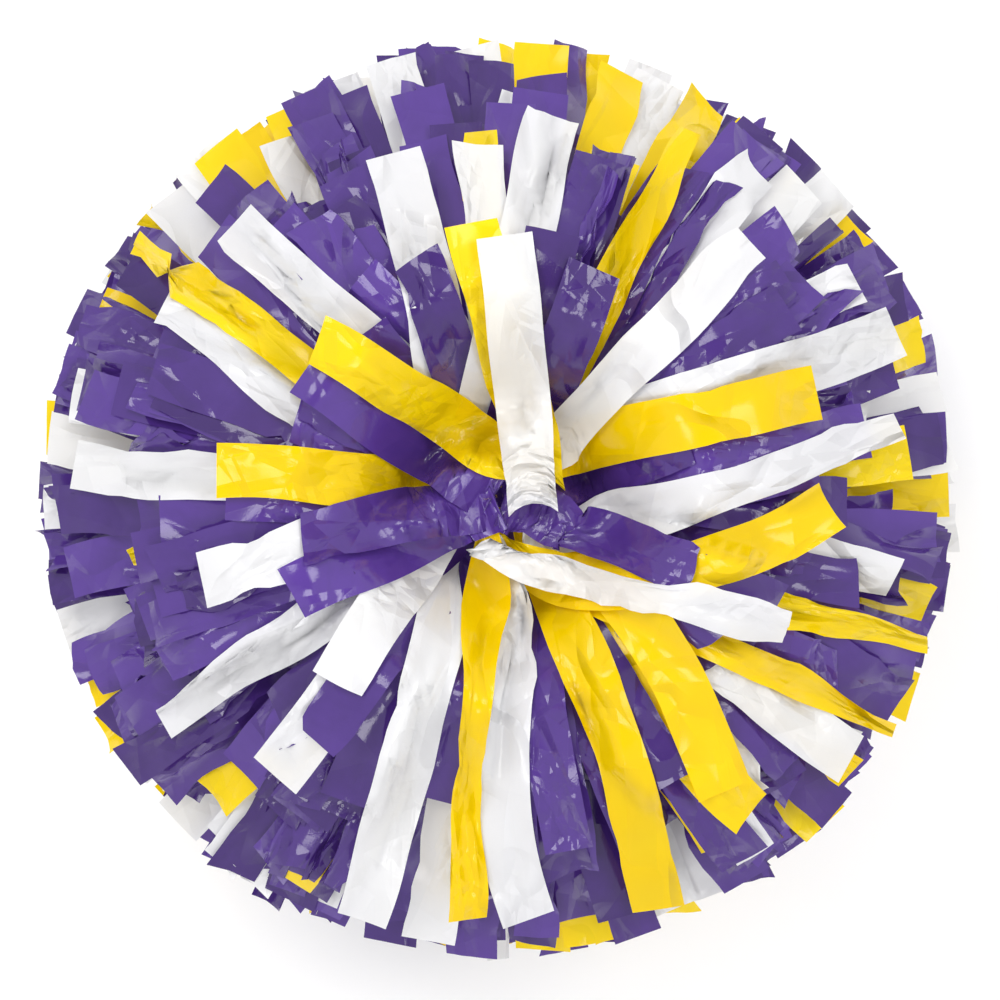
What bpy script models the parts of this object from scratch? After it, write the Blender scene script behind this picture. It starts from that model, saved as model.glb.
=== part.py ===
"""Cheer pom: two streamer tufts on a two-part baton handle.

Metres, +Z up, resting on its lower tuft on z = 0. The handle axis is Z.
Heights marked "h" are measured from the parting plane between the two tufts,
which is also where the two halves of the handle meet.
"""

import math

import bmesh
import bpy
from mathutils import Matrix, Vector

MM = 0.001

# overall
PARTING_Z = 0.150          # height of the parting plane above the floor
NECK_H = 0.056             # parting plane to the middle of each neck
ROUND_STEPS = 28           # facets round every turned piece

# handle, in mm
GRIP_R = 12.0
GRIP_SWELL_R = 12.9
GRIP_END_H = 45.0
GRIP_BORE_R = 9.0
HALF_GAP = 0.15
SPIGOT_R = 8.7
SPIGOT_BORE_R = 5.5
SPIGOT_END_H = -22.0
RING_GROOVE_H = -12.0
RING_GROOVE_R = 7.0
RING_GROOVE_HALF = 1.2
O_RING_MID_R = 8.05
O_RING_WIRE_R = 0.85
STEM_R = 8.7
STEM_START_H = 28.0
SHOULDER_H = (45.3, 47.0)
SPOOL_R = 7.0
END_FLANGE_H = (63.0, 66.5)
END_FLANGE_R = 11.5
PIN_H = 37.0
PIN_R = 1.4
PIN_HOLE_R = 1.6
PIN_HALF_LENGTH = 11.7

# neck, in mm
GUARD_R = (7.3, 18.5)
GUARD_H = (47.3, 48.7)
BAND_R = (7.3, 15.5)
BAND_H = (49.0, 62.7)
TIE_R = (15.8, 17.1)
TIE_HALF_WIDTH = 1.6
TIE_H = (53.2, 58.8)
TIE_HEAD = (5.2, 5.0, 4.2)   # along the strap, outwards, along the handle
TIE_HEAD_R = 19.0            # middle of the head from the axis
TIE_TAIL = (4.0, 1.2, 2.4)

# streamer bundles: for each tier the cage stations, as
# (distance from the axis, low h, high h, half width), in mm
SKIRT = (
    (24.0, 47.0, 56.5, 10.0),
    (65.0, 32.0, 56.0, 35.5),
    (112.0, 15.0, 52.5, 61.5),
    (158.0, 2.0, 42.0, 52.0),
)
BELT = (
    (24.0, 58.5, 68.0, 8.2),
    (65.0, 58.0, 85.0, 25.2),
    (115.0, 54.5, 92.0, 45.5),
    (165.0, 44.0, 79.0, 42.0),
)
CROWN = (
    (10.0, 70.5, 80.0, 3.8),
    (46.0, 81.0, 146.0, 25.0),
    (94.0, 94.5, 196.0, 52.0),
    (142.0, 93.0, 144.0, 52.0),
)
# the lower tuft is pressed flat by the weight above it
SOLE = (
    (10.0, -80.0, -70.5, 3.8),
    (46.0, -150.0, -84.0, 25.0),
    (94.0, -150.0, -95.0, 52.0),
    (142.0, -150.0, -94.0, 52.0),
)

SKIRT_COLOURS = ("purple", "white", "purple", "yellow", "purple", "purple")
BELT_COLOURS = (
    "purple",
    "yellow",
    "purple",
    "white",
    "purple",
    "purple",
    "white",
    "yellow",
)
CROWN_COLOURS = ("purple", "white", "purple", "yellow", "purple", "purple")

FILM = {
    "purple": (0.115, 0.062, 0.300),
    "white": (0.880, 0.890, 0.900),
    "yellow": (0.900, 0.680, 0.008),
}


def clear_scene():
    for old in list(bpy.data.objects):
        bpy.data.objects.remove(old, do_unlink=True)


def new_collection(name, hidden=False):
    coll = bpy.data.collections.new(name)
    bpy.context.scene.collection.children.link(coll)
    coll.hide_render = hidden
    return coll


def finish(name, colour, roughness, metallic=0.0):
    mat = bpy.data.materials.new(name)
    mat.use_nodes = True
    shader = mat.node_tree.nodes["Principled BSDF"]
    shader.inputs["Base Color"].default_value = (*colour, 1.0)
    shader.inputs["Roughness"].default_value = roughness
    shader.inputs["Metallic"].default_value = metallic
    mat.diffuse_color = (*colour, 1.0)
    return mat


def add_object(name, mesh, coll, parent=None):
    obj = bpy.data.objects.new(name, mesh)
    coll.objects.link(obj)
    if parent is not None:
        obj.parent = parent
    return obj


def add_axis(name, coll, height):
    """An empty that carries everything turning or sliding on one joint."""
    axis = bpy.data.objects.new(name, None)
    axis.empty_display_size = 0.02
    axis.location = (0.0, 0.0, height)
    coll.objects.link(axis)
    return axis


def mesh_from(bm, name, mat=None, smooth=True):
    bmesh.ops.recalc_face_normals(bm, faces=bm.faces)
    mesh = bpy.data.meshes.new(name)
    bm.to_mesh(mesh)
    bm.free()
    for face in mesh.polygons:
        face.use_smooth = smooth
    if mat is not None:
        mesh.materials.append(mat)
    return mesh


def turned(name, coll, mat, profile, parent, flip=False):
    """A turned piece from a closed profile of (radius, h) points in mm.

    The profile runs down its outer side. With flip, the piece is mirrored
    through the parting plane, and the profile is reversed to stay closed
    facing out.
    """
    points = list(profile)
    if flip:
        points = [(r, -h) for r, h in reversed(points)]
    base = parent.location.z if parent is not None else 0.0
    bm = bmesh.new()
    verts = [
        bm.verts.new((r * MM, 0.0, PARTING_Z + h * MM - base)) for r, h in points
    ]
    for a, b in zip(verts, verts[1:] + verts[:1]):
        bm.edges.new((a, b))
    mesh = bpy.data.meshes.new(name)
    bm.to_mesh(mesh)
    bm.free()
    mesh.materials.append(mat)
    obj = add_object(name, mesh, coll, parent)
    screw = obj.modifiers.new("turn", "SCREW")
    screw.axis = "Z"
    screw.angle = math.tau
    screw.steps = ROUND_STEPS
    screw.render_steps = ROUND_STEPS
    screw.use_merge_vertices = True
    screw.merge_threshold = 0.00001
    screw.use_normal_calculate = False
    screw.use_smooth_shade = True
    return obj


def box_mesh(name, size_mm, mat, bevel_mm=0.0):
    bm = bmesh.new()
    bmesh.ops.create_cube(bm, size=1.0)
    bmesh.ops.scale(bm, verts=bm.verts, vec=Vector(size_mm) * MM)
    if bevel_mm > 0.0:
        bmesh.ops.bevel(
            bm,
            geom=list(bm.edges),
            offset=bevel_mm * MM,
            segments=1,
            affect="EDGES",
        )
    return mesh_from(bm, name, mat, smooth=False)


def rod_mesh(name, radius_mm, half_length_mm, mat, sides=16):
    """A solid rod along X."""
    bm = bmesh.new()
    bmesh.ops.create_cone(
        bm,
        cap_ends=True,
        segments=sides,
        radius1=radius_mm * MM,
        radius2=radius_mm * MM,
        depth=2.0 * half_length_mm * MM,
        matrix=Matrix.Rotation(math.radians(90.0), 4, "Y"),
    )
    mesh = mesh_from(bm, name, mat)
    for face in mesh.polygons:
        face.use_smooth = len(face.vertices) == 4
    return mesh


def boolean(obj, tool, operation):
    mod = obj.modifiers.new(operation.lower() + "_" + tool.name, "BOOLEAN")
    mod.operation = operation
    mod.solver = "EXACT"
    mod.object = tool


def grip_outline():
    """Outer side of a grip half, from its neck end down to the parting plane."""
    return [
        (GRIP_R - 0.8, GRIP_END_H),
        (GRIP_R, GRIP_END_H - 0.8),
        (GRIP_R, GRIP_END_H - 5.0),
        (GRIP_SWELL_R, GRIP_END_H - 11.0),
        (GRIP_SWELL_R, GRIP_END_H - 15.0),
        (GRIP_SWELL_R - 0.7, GRIP_END_H - 16.0),
        (GRIP_SWELL_R - 0.7, GRIP_END_H - 17.5),
        (GRIP_SWELL_R, GRIP_END_H - 18.5),
        (GRIP_SWELL_R, GRIP_END_H - 22.5),
        (GRIP_SWELL_R - 0.7, GRIP_END_H - 23.5),
        (GRIP_SWELL_R - 0.7, GRIP_END_H - 25.0),
        (GRIP_SWELL_R, GRIP_END_H - 26.0),
        (GRIP_SWELL_R, GRIP_END_H - 31.0),
        (GRIP_R, GRIP_END_H - 38.0),
        (GRIP_R, HALF_GAP + 0.6),
        (GRIP_R - 0.6, HALF_GAP),
    ]


def make_handle(coll, cutters, lower, upper):
    plastic_low = finish("lower_grip_plastic", (0.030, 0.030, 0.034), 0.42)
    plastic_up = finish("upper_grip_plastic", (0.030, 0.030, 0.034), 0.42)

    socket = grip_outline() + [
        (GRIP_BORE_R + 0.5, HALF_GAP),
        (GRIP_BORE_R, HALF_GAP + 0.6),
        (GRIP_BORE_R, GRIP_END_H),
    ]
    low = turned("lower_grip_half", coll, plastic_low, socket, lower, flip=True)

    spigot = grip_outline() + [
        (SPIGOT_R, HALF_GAP),
        (SPIGOT_R, RING_GROOVE_H + RING_GROOVE_HALF),
        (RING_GROOVE_R, RING_GROOVE_H + RING_GROOVE_HALF),
        (RING_GROOVE_R, RING_GROOVE_H - RING_GROOVE_HALF),
        (SPIGOT_R, RING_GROOVE_H - RING_GROOVE_HALF),
        (SPIGOT_R, SPIGOT_END_H + 1.0),
        (SPIGOT_R - 0.8, SPIGOT_END_H),
        (SPIGOT_BORE_R, SPIGOT_END_H),
        (SPIGOT_BORE_R, 24.0),
        (GRIP_BORE_R, 25.5),
        (GRIP_BORE_R, GRIP_END_H),
    ]
    up = turned("upper_grip_half", coll, plastic_up, spigot, upper)

    ring = []
    for k in range(8):
        a = -math.tau * k / 8
        ring.append(
            (
                O_RING_MID_R + O_RING_WIRE_R * math.cos(a),
                RING_GROOVE_H + O_RING_WIRE_R * math.sin(a),
            )
        )
    rubber = finish("spigot_rubber", (0.012, 0.012, 0.012), 0.6)
    turned("spigot_o_ring", coll, rubber, ring, upper)

    plug = [
        (END_FLANGE_R - 1.0, END_FLANGE_H[1]),
        (END_FLANGE_R, END_FLANGE_H[1] - 1.0),
        (END_FLANGE_R, END_FLANGE_H[0]),
        (SPOOL_R, END_FLANGE_H[0]),
        (SPOOL_R, SHOULDER_H[1]),
        (GRIP_R, SHOULDER_H[1]),
        (GRIP_R, SHOULDER_H[0]),
        (STEM_R, SHOULDER_H[0]),
        (STEM_R, STEM_START_H + 1.0),
        (STEM_R - 1.0, STEM_START_H),
        (2.6, STEM_START_H),
        (2.6, END_FLANGE_H[1] - 3.0),
        (5.2, END_FLANGE_H[1] - 0.6),
        (5.2, END_FLANGE_H[1]),
    ]
    for side, grip, axis, flip in (
        ("lower", low, lower, True),
        ("upper", up, upper, False),
    ):
        mat = finish(side + "_plug_plastic", (0.70, 0.71, 0.73), 0.38)
        part = turned(side + "_end_plug", coll, mat, plug, axis, flip)
        sign = -1.0 if flip else 1.0
        local = PARTING_Z + sign * PIN_H * MM - axis.location.z
        hole = add_object(
            side + "_pin_hole",
            rod_mesh(side + "_pin_hole", PIN_HOLE_R, 16.0, None, sides=12),
            cutters,
            axis,
        )
        hole.location = (0.0, 0.0, local)
        hole.display_type = "WIRE"
        hole.hide_render = True
        boolean(grip, hole, "DIFFERENCE")
        boolean(part, hole, "DIFFERENCE")
        steel = finish(side + "_pin_steel", (0.55, 0.56, 0.58), 0.28, 1.0)
        pin = add_object(
            side + "_cross_pin",
            rod_mesh(side + "_cross_pin", PIN_R, PIN_HALF_LENGTH, steel, sides=12),
            coll,
            axis,
        )
        pin.location = (0.0, 0.0, local)
        chamfer = pin.modifiers.new("chamfer", "BEVEL")
        chamfer.width = 0.3 * MM
        chamfer.segments = 1
        chamfer.limit_method = "ANGLE"
        chamfer.angle_limit = math.radians(50.0)


def ring_profile(radii, heights, soften=0.0):
    inner, outer = radii
    low, high = heights
    if soften <= 0.0:
        return [(outer, high), (outer, low), (inner, low), (inner, high)]
    return [
        (outer - soften, high),
        (outer, high - soften),
        (outer, low + soften),
        (outer - soften, low),
        (inner, low),
        (inner, high),
    ]


def make_tie(name, coll, cutters, axis, height_mm, turn_deg, flip):
    """A cable tie: strap, ratchet head and the trimmed tail beyond the head."""
    nylon = finish(name + "_nylon", (0.72, 0.72, 0.70), 0.45)
    strap = turned(
        name,
        coll,
        nylon,
        ring_profile(TIE_R, (height_mm - TIE_HALF_WIDTH, height_mm + TIE_HALF_WIDTH)),
        axis,
        flip,
    )
    sign = -1.0 if flip else 1.0
    local = PARTING_Z + sign * height_mm * MM - axis.location.z
    angle = math.radians(turn_deg)
    along = Vector((-math.sin(angle), math.cos(angle), 0.0))
    out = Vector((math.cos(angle), math.sin(angle), 0.0))
    for tool_name, size, reach, shift in (
        (name + "_head", TIE_HEAD, TIE_HEAD_R, 0.0),
        (name + "_tail", TIE_TAIL, TIE_HEAD_R, 4.0),
    ):
        tool = add_object(
            tool_name,
            box_mesh(tool_name, (size[1], size[0], size[2]), nylon, 0.25),
            cutters,
            axis,
        )
        tool.location = out * (reach * MM) + along * (shift * MM)
        tool.location.z = local
        tool.rotation_euler = (0.0, 0.0, angle)
        tool.display_type = "WIRE"
        tool.hide_render = True
        boolean(strap, tool, "UNION")


def make_neck(side, coll, cutters, axis, flip):
    """What holds a tuft's film on its spool."""
    guard = finish(side + "_guard_plastic", (0.045, 0.045, 0.050), 0.5)
    turned(
        side + "_guard_washer",
        coll,
        guard,
        ring_profile(GUARD_R, GUARD_H, 0.4),
        axis,
        flip,
    )
    film = finish(side + "_band_film", FILM["purple"], 0.28)
    turned(
        side + "_rolled_film_band",
        coll,
        film,
        ring_profile(BAND_R, BAND_H, 1.0),
        axis,
        flip,
    )
    make_tie(side + "_inner_cable_tie", coll, cutters, axis, TIE_H[0], 35.0, flip)
    make_tie(side + "_outer_cable_tie", coll, cutters, axis, TIE_H[1], 215.0, flip)


def bundle_mesh(name, stations, mat, base, sign, flat_sole):
    """Cage of one streamer bundle; a Subsurf modifier rounds it.

    The cage stays inside its own wedge and tier, so neighbours keep clear.
    """
    bm = bmesh.new()
    crease = bm.edges.layers.float.new("crease_edge")
    rings = []
    for r, low, high, half in stations:
        ring = []
        for y, h in ((-half, low), (half, low), (half, high), (-half, high)):
            z = PARTING_Z + sign * h * MM - base
            ring.append(bm.verts.new((r * MM, y * MM, z)))
        rings.append(ring)
    for near, far in zip(rings, rings[1:]):
        for k in range(4):
            n = (k + 1) % 4
            bm.faces.new((near[k], near[n], far[n], far[k]))
    bm.faces.new(rings[0])
    bm.faces.new(rings[-1])
    if flat_sole:
        floor = -base
        for edge in bm.edges:
            on_floor = all(abs(v.co.z - floor) < 1e-6 for v in edge.verts)
            border = any(
                abs(face.calc_center_median().z - floor) > 1e-6
                for face in edge.link_faces
            )
            if on_floor and border:
                edge[crease] = 1.0
    return mesh_from(bm, name, mat)


def make_tier(side, tier, stations, colours, coll, axis, sign, turn_deg):
    count = len(colours)
    numbers = {}
    for k, colour in enumerate(colours):
        numbers[colour] = numbers.get(colour, 0) + 1
        name = "_".join((side, tier, colour, "bundle", str(numbers[colour])))
        mat = finish(name + "_film", FILM[colour], 0.26)
        mesh = bundle_mesh(
            name, stations, mat, axis.location.z, sign, flat_sole=tier == "sole"
        )
        obj = add_object(name, mesh, coll, axis)
        obj.rotation_euler = (0.0, 0.0, math.radians(turn_deg) + math.tau * k / count)
        smooth = obj.modifiers.new("round", "SUBSURF")
        smooth.levels = 1
        smooth.render_levels = 1


def main():
    clear_scene()
    pom = new_collection("cheer_pom")
    cutters = new_collection("cutters", hidden=True)

    lower_handle = add_axis("lower_handle_axis", pom, PARTING_Z)
    upper_handle = add_axis("upper_handle_slide", pom, PARTING_Z)
    lower_tuft = add_axis("lower_tuft_axis", pom, PARTING_Z - NECK_H)
    upper_tuft = add_axis("upper_tuft_axis", pom, PARTING_Z + NECK_H)

    make_handle(pom, cutters, lower_handle, upper_handle)
    make_neck("lower", pom, cutters, lower_tuft, flip=True)
    make_neck("upper", pom, cutters, upper_tuft, flip=False)

    make_tier("upper", "skirt", SKIRT, SKIRT_COLOURS, pom, upper_tuft, 1.0, 30.0)
    make_tier("upper", "belt", BELT, BELT_COLOURS, pom, upper_tuft, 1.0, 0.0)
    make_tier("upper", "crown", CROWN, CROWN_COLOURS, pom, upper_tuft, 1.0, 90.0)

    make_tier("lower", "skirt", SKIRT, SKIRT_COLOURS, pom, lower_tuft, -1.0, 30.0)
    make_tier("lower", "belt", BELT, BELT_COLOURS, pom, lower_tuft, -1.0, 0.0)
    make_tier("lower", "sole", SOLE, CROWN_COLOURS, pom, lower_tuft, 1.0, 90.0)


main()
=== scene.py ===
"""Cheer pom of wet-look film streamers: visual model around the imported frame.

Metres, the CAD frame: handle axis on Z, resting on z = 0. Every streamer is a
flat 19 mm ribbon, 152 mm long. It is grown from its neck along a bent
centreline, then rolled, cupped, creased and kinked across its width. The
streamers of a tuft are laid one on another, and the pile is shaped to a dome.
"""

import math

import bpy
import numpy as np
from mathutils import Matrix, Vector


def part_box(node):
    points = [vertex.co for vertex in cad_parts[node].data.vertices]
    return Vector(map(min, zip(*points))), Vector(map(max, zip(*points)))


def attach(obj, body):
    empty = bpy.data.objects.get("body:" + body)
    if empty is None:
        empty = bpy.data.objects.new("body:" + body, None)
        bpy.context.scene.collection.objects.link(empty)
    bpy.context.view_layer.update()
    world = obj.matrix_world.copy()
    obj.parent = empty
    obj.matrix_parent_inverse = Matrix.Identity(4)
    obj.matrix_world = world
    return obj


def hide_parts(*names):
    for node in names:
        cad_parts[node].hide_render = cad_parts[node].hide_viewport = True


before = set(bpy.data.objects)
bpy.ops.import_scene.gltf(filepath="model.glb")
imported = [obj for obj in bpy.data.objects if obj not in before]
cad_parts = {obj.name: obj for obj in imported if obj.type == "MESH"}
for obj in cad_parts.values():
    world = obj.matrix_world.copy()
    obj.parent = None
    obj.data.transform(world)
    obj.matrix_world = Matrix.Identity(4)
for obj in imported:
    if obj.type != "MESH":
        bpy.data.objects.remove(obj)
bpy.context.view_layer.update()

# ------------------------------------------------------------------ sizes

MM = 0.001
STREAMER_LENGTH = 0.152
STREAMER_WIDTH = 0.019
ALONG = 34                 # segments along a streamer
ACROSS = 6                 # segments across it
CORE = 6.0                 # rooted nearer to the axis, a streamer lies over the neck, mm

band_low, band_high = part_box("upper_rolled_film_band")
BAND_TOP = band_high[2]
BAND_FOOT = band_low[2]
lower_band_low, lower_band_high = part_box("lower_rolled_film_band")
PARTING = 0.5 * (BAND_FOOT + lower_band_high[2])

CAMERA_HEIGHT = 4.0
RIM_HEIGHT = 0.19          # the plane at which the pom's width fills the frame
FRAME_WIDTH = 0.347
SENSOR_WIDTH = 36.0

rng = np.random.default_rng(742)

PURPLE, WHITE, YELLOW = 0, 1, 2
COLOUR_NAMES = ("purple", "white", "yellow")

# ---------------------------------------------------------------- streamers


def smooth(x):
    """Soft step from 0 at 0 to 1 at 1."""
    x = np.clip(x, 0.0, 1.0)
    return x * x * (3.0 - 2.0 * x)


def soft_noise(shape, passes):
    """Random values smoothed along axis 1, back to unit spread."""
    a = rng.normal(size=shape)
    for _ in range(passes):
        a = (np.roll(a, 1, 1) + 2.0 * a + np.roll(a, -1, 1)) / 4.0
    return a / (a.std() + 1e-9)


class Batch:
    """Streamers described by one array per property."""

    def __init__(self):
        self.rows = []

    def add(self, colour, tier, az, reach, **more):
        row = dict(
            colour=colour,
            tier=tier,
            az=az,              # azimuth of the tip, degrees
            reach=reach,        # tip's distance from the axis, mm
            swing=0.0,          # azimuth at the neck less azimuth of the tip
            bow=0.0,            # sideways bow halfway, mm
            sway=0.0,           # sideways S, mm
            root=12.0,          # distance from the axis at the neck, mm
            rise=72.0,          # slope of the first part, degrees
            fall=0.0,           # slope at the tip
            bend=14.0,          # length of the bend between them, mm
            sag=0.0,            # extra droop at the tip, degrees
            roll=0.0,           # roll at the tip
            roll_mid=0.0,       # extra roll halfway
            turn=0.0,           # roll from the root on
            crease=0.0,         # lengthwise fold, degrees each side
            crease_at=0.0,      # across, -1 to 1
            kink=0.0,           # a sharp bend across, degrees
            kink_at=0.75,       # where, 0 to 1
            kink_roll=0.0,      # roll taken by the kink
            twist=0.0,          # roll at the neck, used up by twist_to
            twist_to=0.4,
            pinch=0.045,        # how far the gathered root reaches, m
            gather=0.0,         # lengthwise fold at the root, degrees each side
            stack=None,         # place in the pile, where it is asked for
            clear=0.0,          # extra distance to what lies under it, mm
            rough=1.0,          # crumple
            wide=1.0,
            long=1.0,
            lift=0.0,           # whole streamer raised, mm
            loose=0.0,          # 1 where the root lies on the pile as well
            drop_to=None,       # height that the tip comes to, mm, in place of reach
        )
        row.update(more)
        self.rows.append(row)

    def column(self, name):
        return np.array([row[name] for row in self.rows], float)

    def piles(self, heights):
        """Order from the bottom of the pile to its top."""
        asked = [row["stack"] for row in self.rows]
        return [h if a is None else a for a, h in zip(asked, heights)]


BEND_SHARPNESS = 1.6
LEAD_SLOPE = 84.0          # a streamer of the fan leaves its neck almost upright
LEAD_LENGTH = 0.006
LEAD_BLEND = 0.003
STEEP_RISE = 30.0          # slopes above this mark the streamers of the fan
KINK_LENGTH = 0.035        # share of the length that a kink takes up
KINK_ROLL_LENGTH = 0.05
WANDER = 2.2               # random change of slope, degrees
ROLL_WANDER = 4.0
SIDE_WANDER = 0.9          # random sideways shift, mm
MOST_WRAP = 0.85
NARROWEST_WRAP = 0.008     # radius that the wrap is reckoned from, m
BOW_SPREAD = 0.13
CREASE_WIDTH = 0.12
PINCH_FROM = 0.012         # along the streamer, m
LEAST_CRUMPLE, MORE_CRUMPLE = 0.05, 0.26   # slopes, radians
STEP_HEIGHT = 0.4          # of the sharp cross creases, mm
SLANT = 0.7                # of the cut ends, mm
FIRST_TURN, LAST_TURN = -0.06, 0.16
HALVINGS = 26


def slopes(rise, fall, bend, turn, s):
    """Slope along the streamer, degrees."""
    x = (turn[:, None] - s) / np.maximum(bend, 1e-4)[:, None]
    mix = 0.5 * (1.0 + np.tanh(BEND_SHARPNESS * x))
    return fall[:, None] + (rise - fall)[:, None] * mix


def runs(batch):
    """Start, heading and length of every streamer's run, seen from above."""
    get = batch.column

    def at(azimuth, radius):
        a = np.radians(azimuth)
        return np.stack([np.cos(a), np.sin(a)], axis=-1) * radius[:, None]

    start = at(get("az") + get("swing"), get("root") * MM)
    run = at(get("az"), get("reach") * MM) - start
    span = np.linalg.norm(run, axis=-1)
    return start, run / span[:, None], span


def bends(batch, sign, edge_z, t, s, span):
    """Distance run, height and slope at every point along the streamers.

    The place of the bend is the one that brings the tip to its reach, or to
    the height that it drops to.
    """
    get = batch.column
    n = len(batch.rows)
    ds = STREAMER_LENGTH * get("long") / ALONG
    rise, fall, bend = get("rise"), get("fall"), get("bend") * MM
    wander = WANDER * soft_noise((n, ALONG + 1), 9) * smooth(t * 3.0)
    past_kink = t - get("kink_at")[:, None]
    kink = -get("kink")[:, None] * smooth(past_kink / KINK_LENGTH)
    droop = -get("sag")[:, None] * t**2

    def path(turn):
        e = slopes(rise, fall, bend, turn, s) + wander + kink + droop
        lead = 0.5 * (1.0 + np.tanh((LEAD_LENGTH - s) / LEAD_BLEND))
        e = e + (LEAD_SLOPE - e) * lead * (rise > STEEP_RISE)[:, None]
        e = np.radians(e)
        mid = 0.5 * (e[:, 1:] + e[:, :-1])
        out = np.zeros_like(s)
        z = np.zeros_like(s)
        out[:, 1:] = np.cumsum(np.cos(mid) * ds[:, None], axis=1)
        z[:, 1:] = np.cumsum(np.sin(mid) * ds[:, None], axis=1)
        return out, z, e

    drop_to = np.array(
        [np.nan if row["drop_to"] is None else row["drop_to"] for row in batch.rows]
    )
    low = np.full(n, FIRST_TURN)
    high = np.full(n, LAST_TURN)
    for _ in range(HALVINGS):
        mid = 0.5 * (low + high)
        out, z, _ = path(mid)
        height = edge_z + sign * z[:, -1]
        too_far = np.where(
            np.isnan(drop_to),
            out[:, -1] > span,
            sign * (drop_to * MM - height) > 0.0,
        )
        low = np.where(too_far, mid, low)
        high = np.where(too_far, high, mid)
    return path(0.5 * (low + high))


def directions(batch, sign, t, centre, aside, free):
    """Unit vectors along, across and out of the face of every streamer."""
    get = batch.column
    n = len(batch.rows)
    tangent = np.gradient(centre, axis=1)
    tangent /= np.linalg.norm(tangent, axis=-1, keepdims=True) + 1e-12
    # the level direction across the streamer, and the face that looks outwards
    around = np.concatenate([aside, np.zeros((n, 1))], axis=-1)[:, None, :]
    level = around - tangent * np.sum(around * tangent, axis=-1, keepdims=True)
    level /= np.linalg.norm(level, axis=-1, keepdims=True) + 1e-12
    face = sign * np.cross(tangent, level)

    roll = get("roll")[:, None] * free * t**0.8
    roll = roll + get("roll_mid")[:, None] * free * np.sin(math.pi * t)
    noise = soft_noise((n, ALONG + 1), 9)
    roll = roll + ROLL_WANDER * noise * free * get("rough")[:, None]
    roll = roll + get("turn")[:, None]
    roll = roll + get("twist")[:, None] * (1.0 - smooth(t / get("twist_to")[:, None]))
    past_kink = t - get("kink_at")[:, None]
    roll = roll + get("kink_roll")[:, None] * smooth(past_kink / KINK_ROLL_LENGTH)
    roll = np.radians(roll)[..., None]
    side = np.cos(roll) * level + np.sin(roll) * face
    up = -np.sin(roll) * level + np.cos(roll) * face
    return tangent, side, up


def cross_sections(batch, t, s, e, r, free):
    """How far every point lies across its streamer and out of its face.

    Also returns where along each streamer the film is crumpled, from 0 to 1.
    """
    get = batch.column
    n = len(batch.rows)
    half = 0.5 * STREAMER_WIDTH * get("wide")[:, None]
    u = np.linspace(-1.0, 1.0, ACROSS + 1)
    um = 0.5 * (u[1:] + u[:-1])
    gathered = 1.0 - smooth((s - PINCH_FROM) / get("pinch")[:, None])
    # on the steep part a streamer wraps round the cone that its neighbours make
    wrap = np.sin(np.abs(e)) * half / np.maximum(np.abs(r), NARROWEST_WRAP)
    wrap = np.clip(wrap, 0.0, MOST_WRAP)
    wrap = wrap * (get("root") > CORE)[:, None]
    cup = wrap[..., None] * um
    bow = (1.0 - gathered) * BOW_SPREAD * soft_noise((n, ALONG + 1), 14)
    cup = cup + bow[..., None] * um * 2.0
    depth = get("crease")[:, None] * smooth((t - 0.05) / 0.2)
    depth = np.radians(depth + get("gather")[:, None] * gathered)
    side_of = np.tanh((um[None, :] - get("crease_at")[:, None]) / CREASE_WIDTH)
    fold = depth[..., None] * side_of[:, None, :]
    patches = smooth(0.9 * soft_noise((n, ALONG + 1), 5) - 0.25)[..., None]
    crumple = rng.normal(size=(n, ALONG + 1, ACROSS))
    crumple = (np.roll(crumple, 1, 1) + 2.0 * crumple + np.roll(crumple, -1, 1)) / 3.0
    crumple = crumple * (LEAST_CRUMPLE + MORE_CRUMPLE * patches)
    crumple = crumple * get("rough")[:, None, None]
    crumple = crumple * free[..., None]

    # the slope of each element across the width, in radians, added up
    alpha = cup + fold + crumple
    du = (2.0 / ACROSS) * half[..., None]
    across = np.zeros((n, ALONG + 1, ACROSS + 1))
    out = np.zeros_like(across)
    across[..., 1:] = np.cumsum(np.cos(alpha) * du, axis=-1)
    out[..., 1:] = np.cumsum(np.sin(alpha) * du, axis=-1)
    middle = ACROSS // 2
    across -= across[..., middle : middle + 1]
    out -= out[..., middle : middle + 1]
    return across, out, patches[..., 0]


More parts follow.
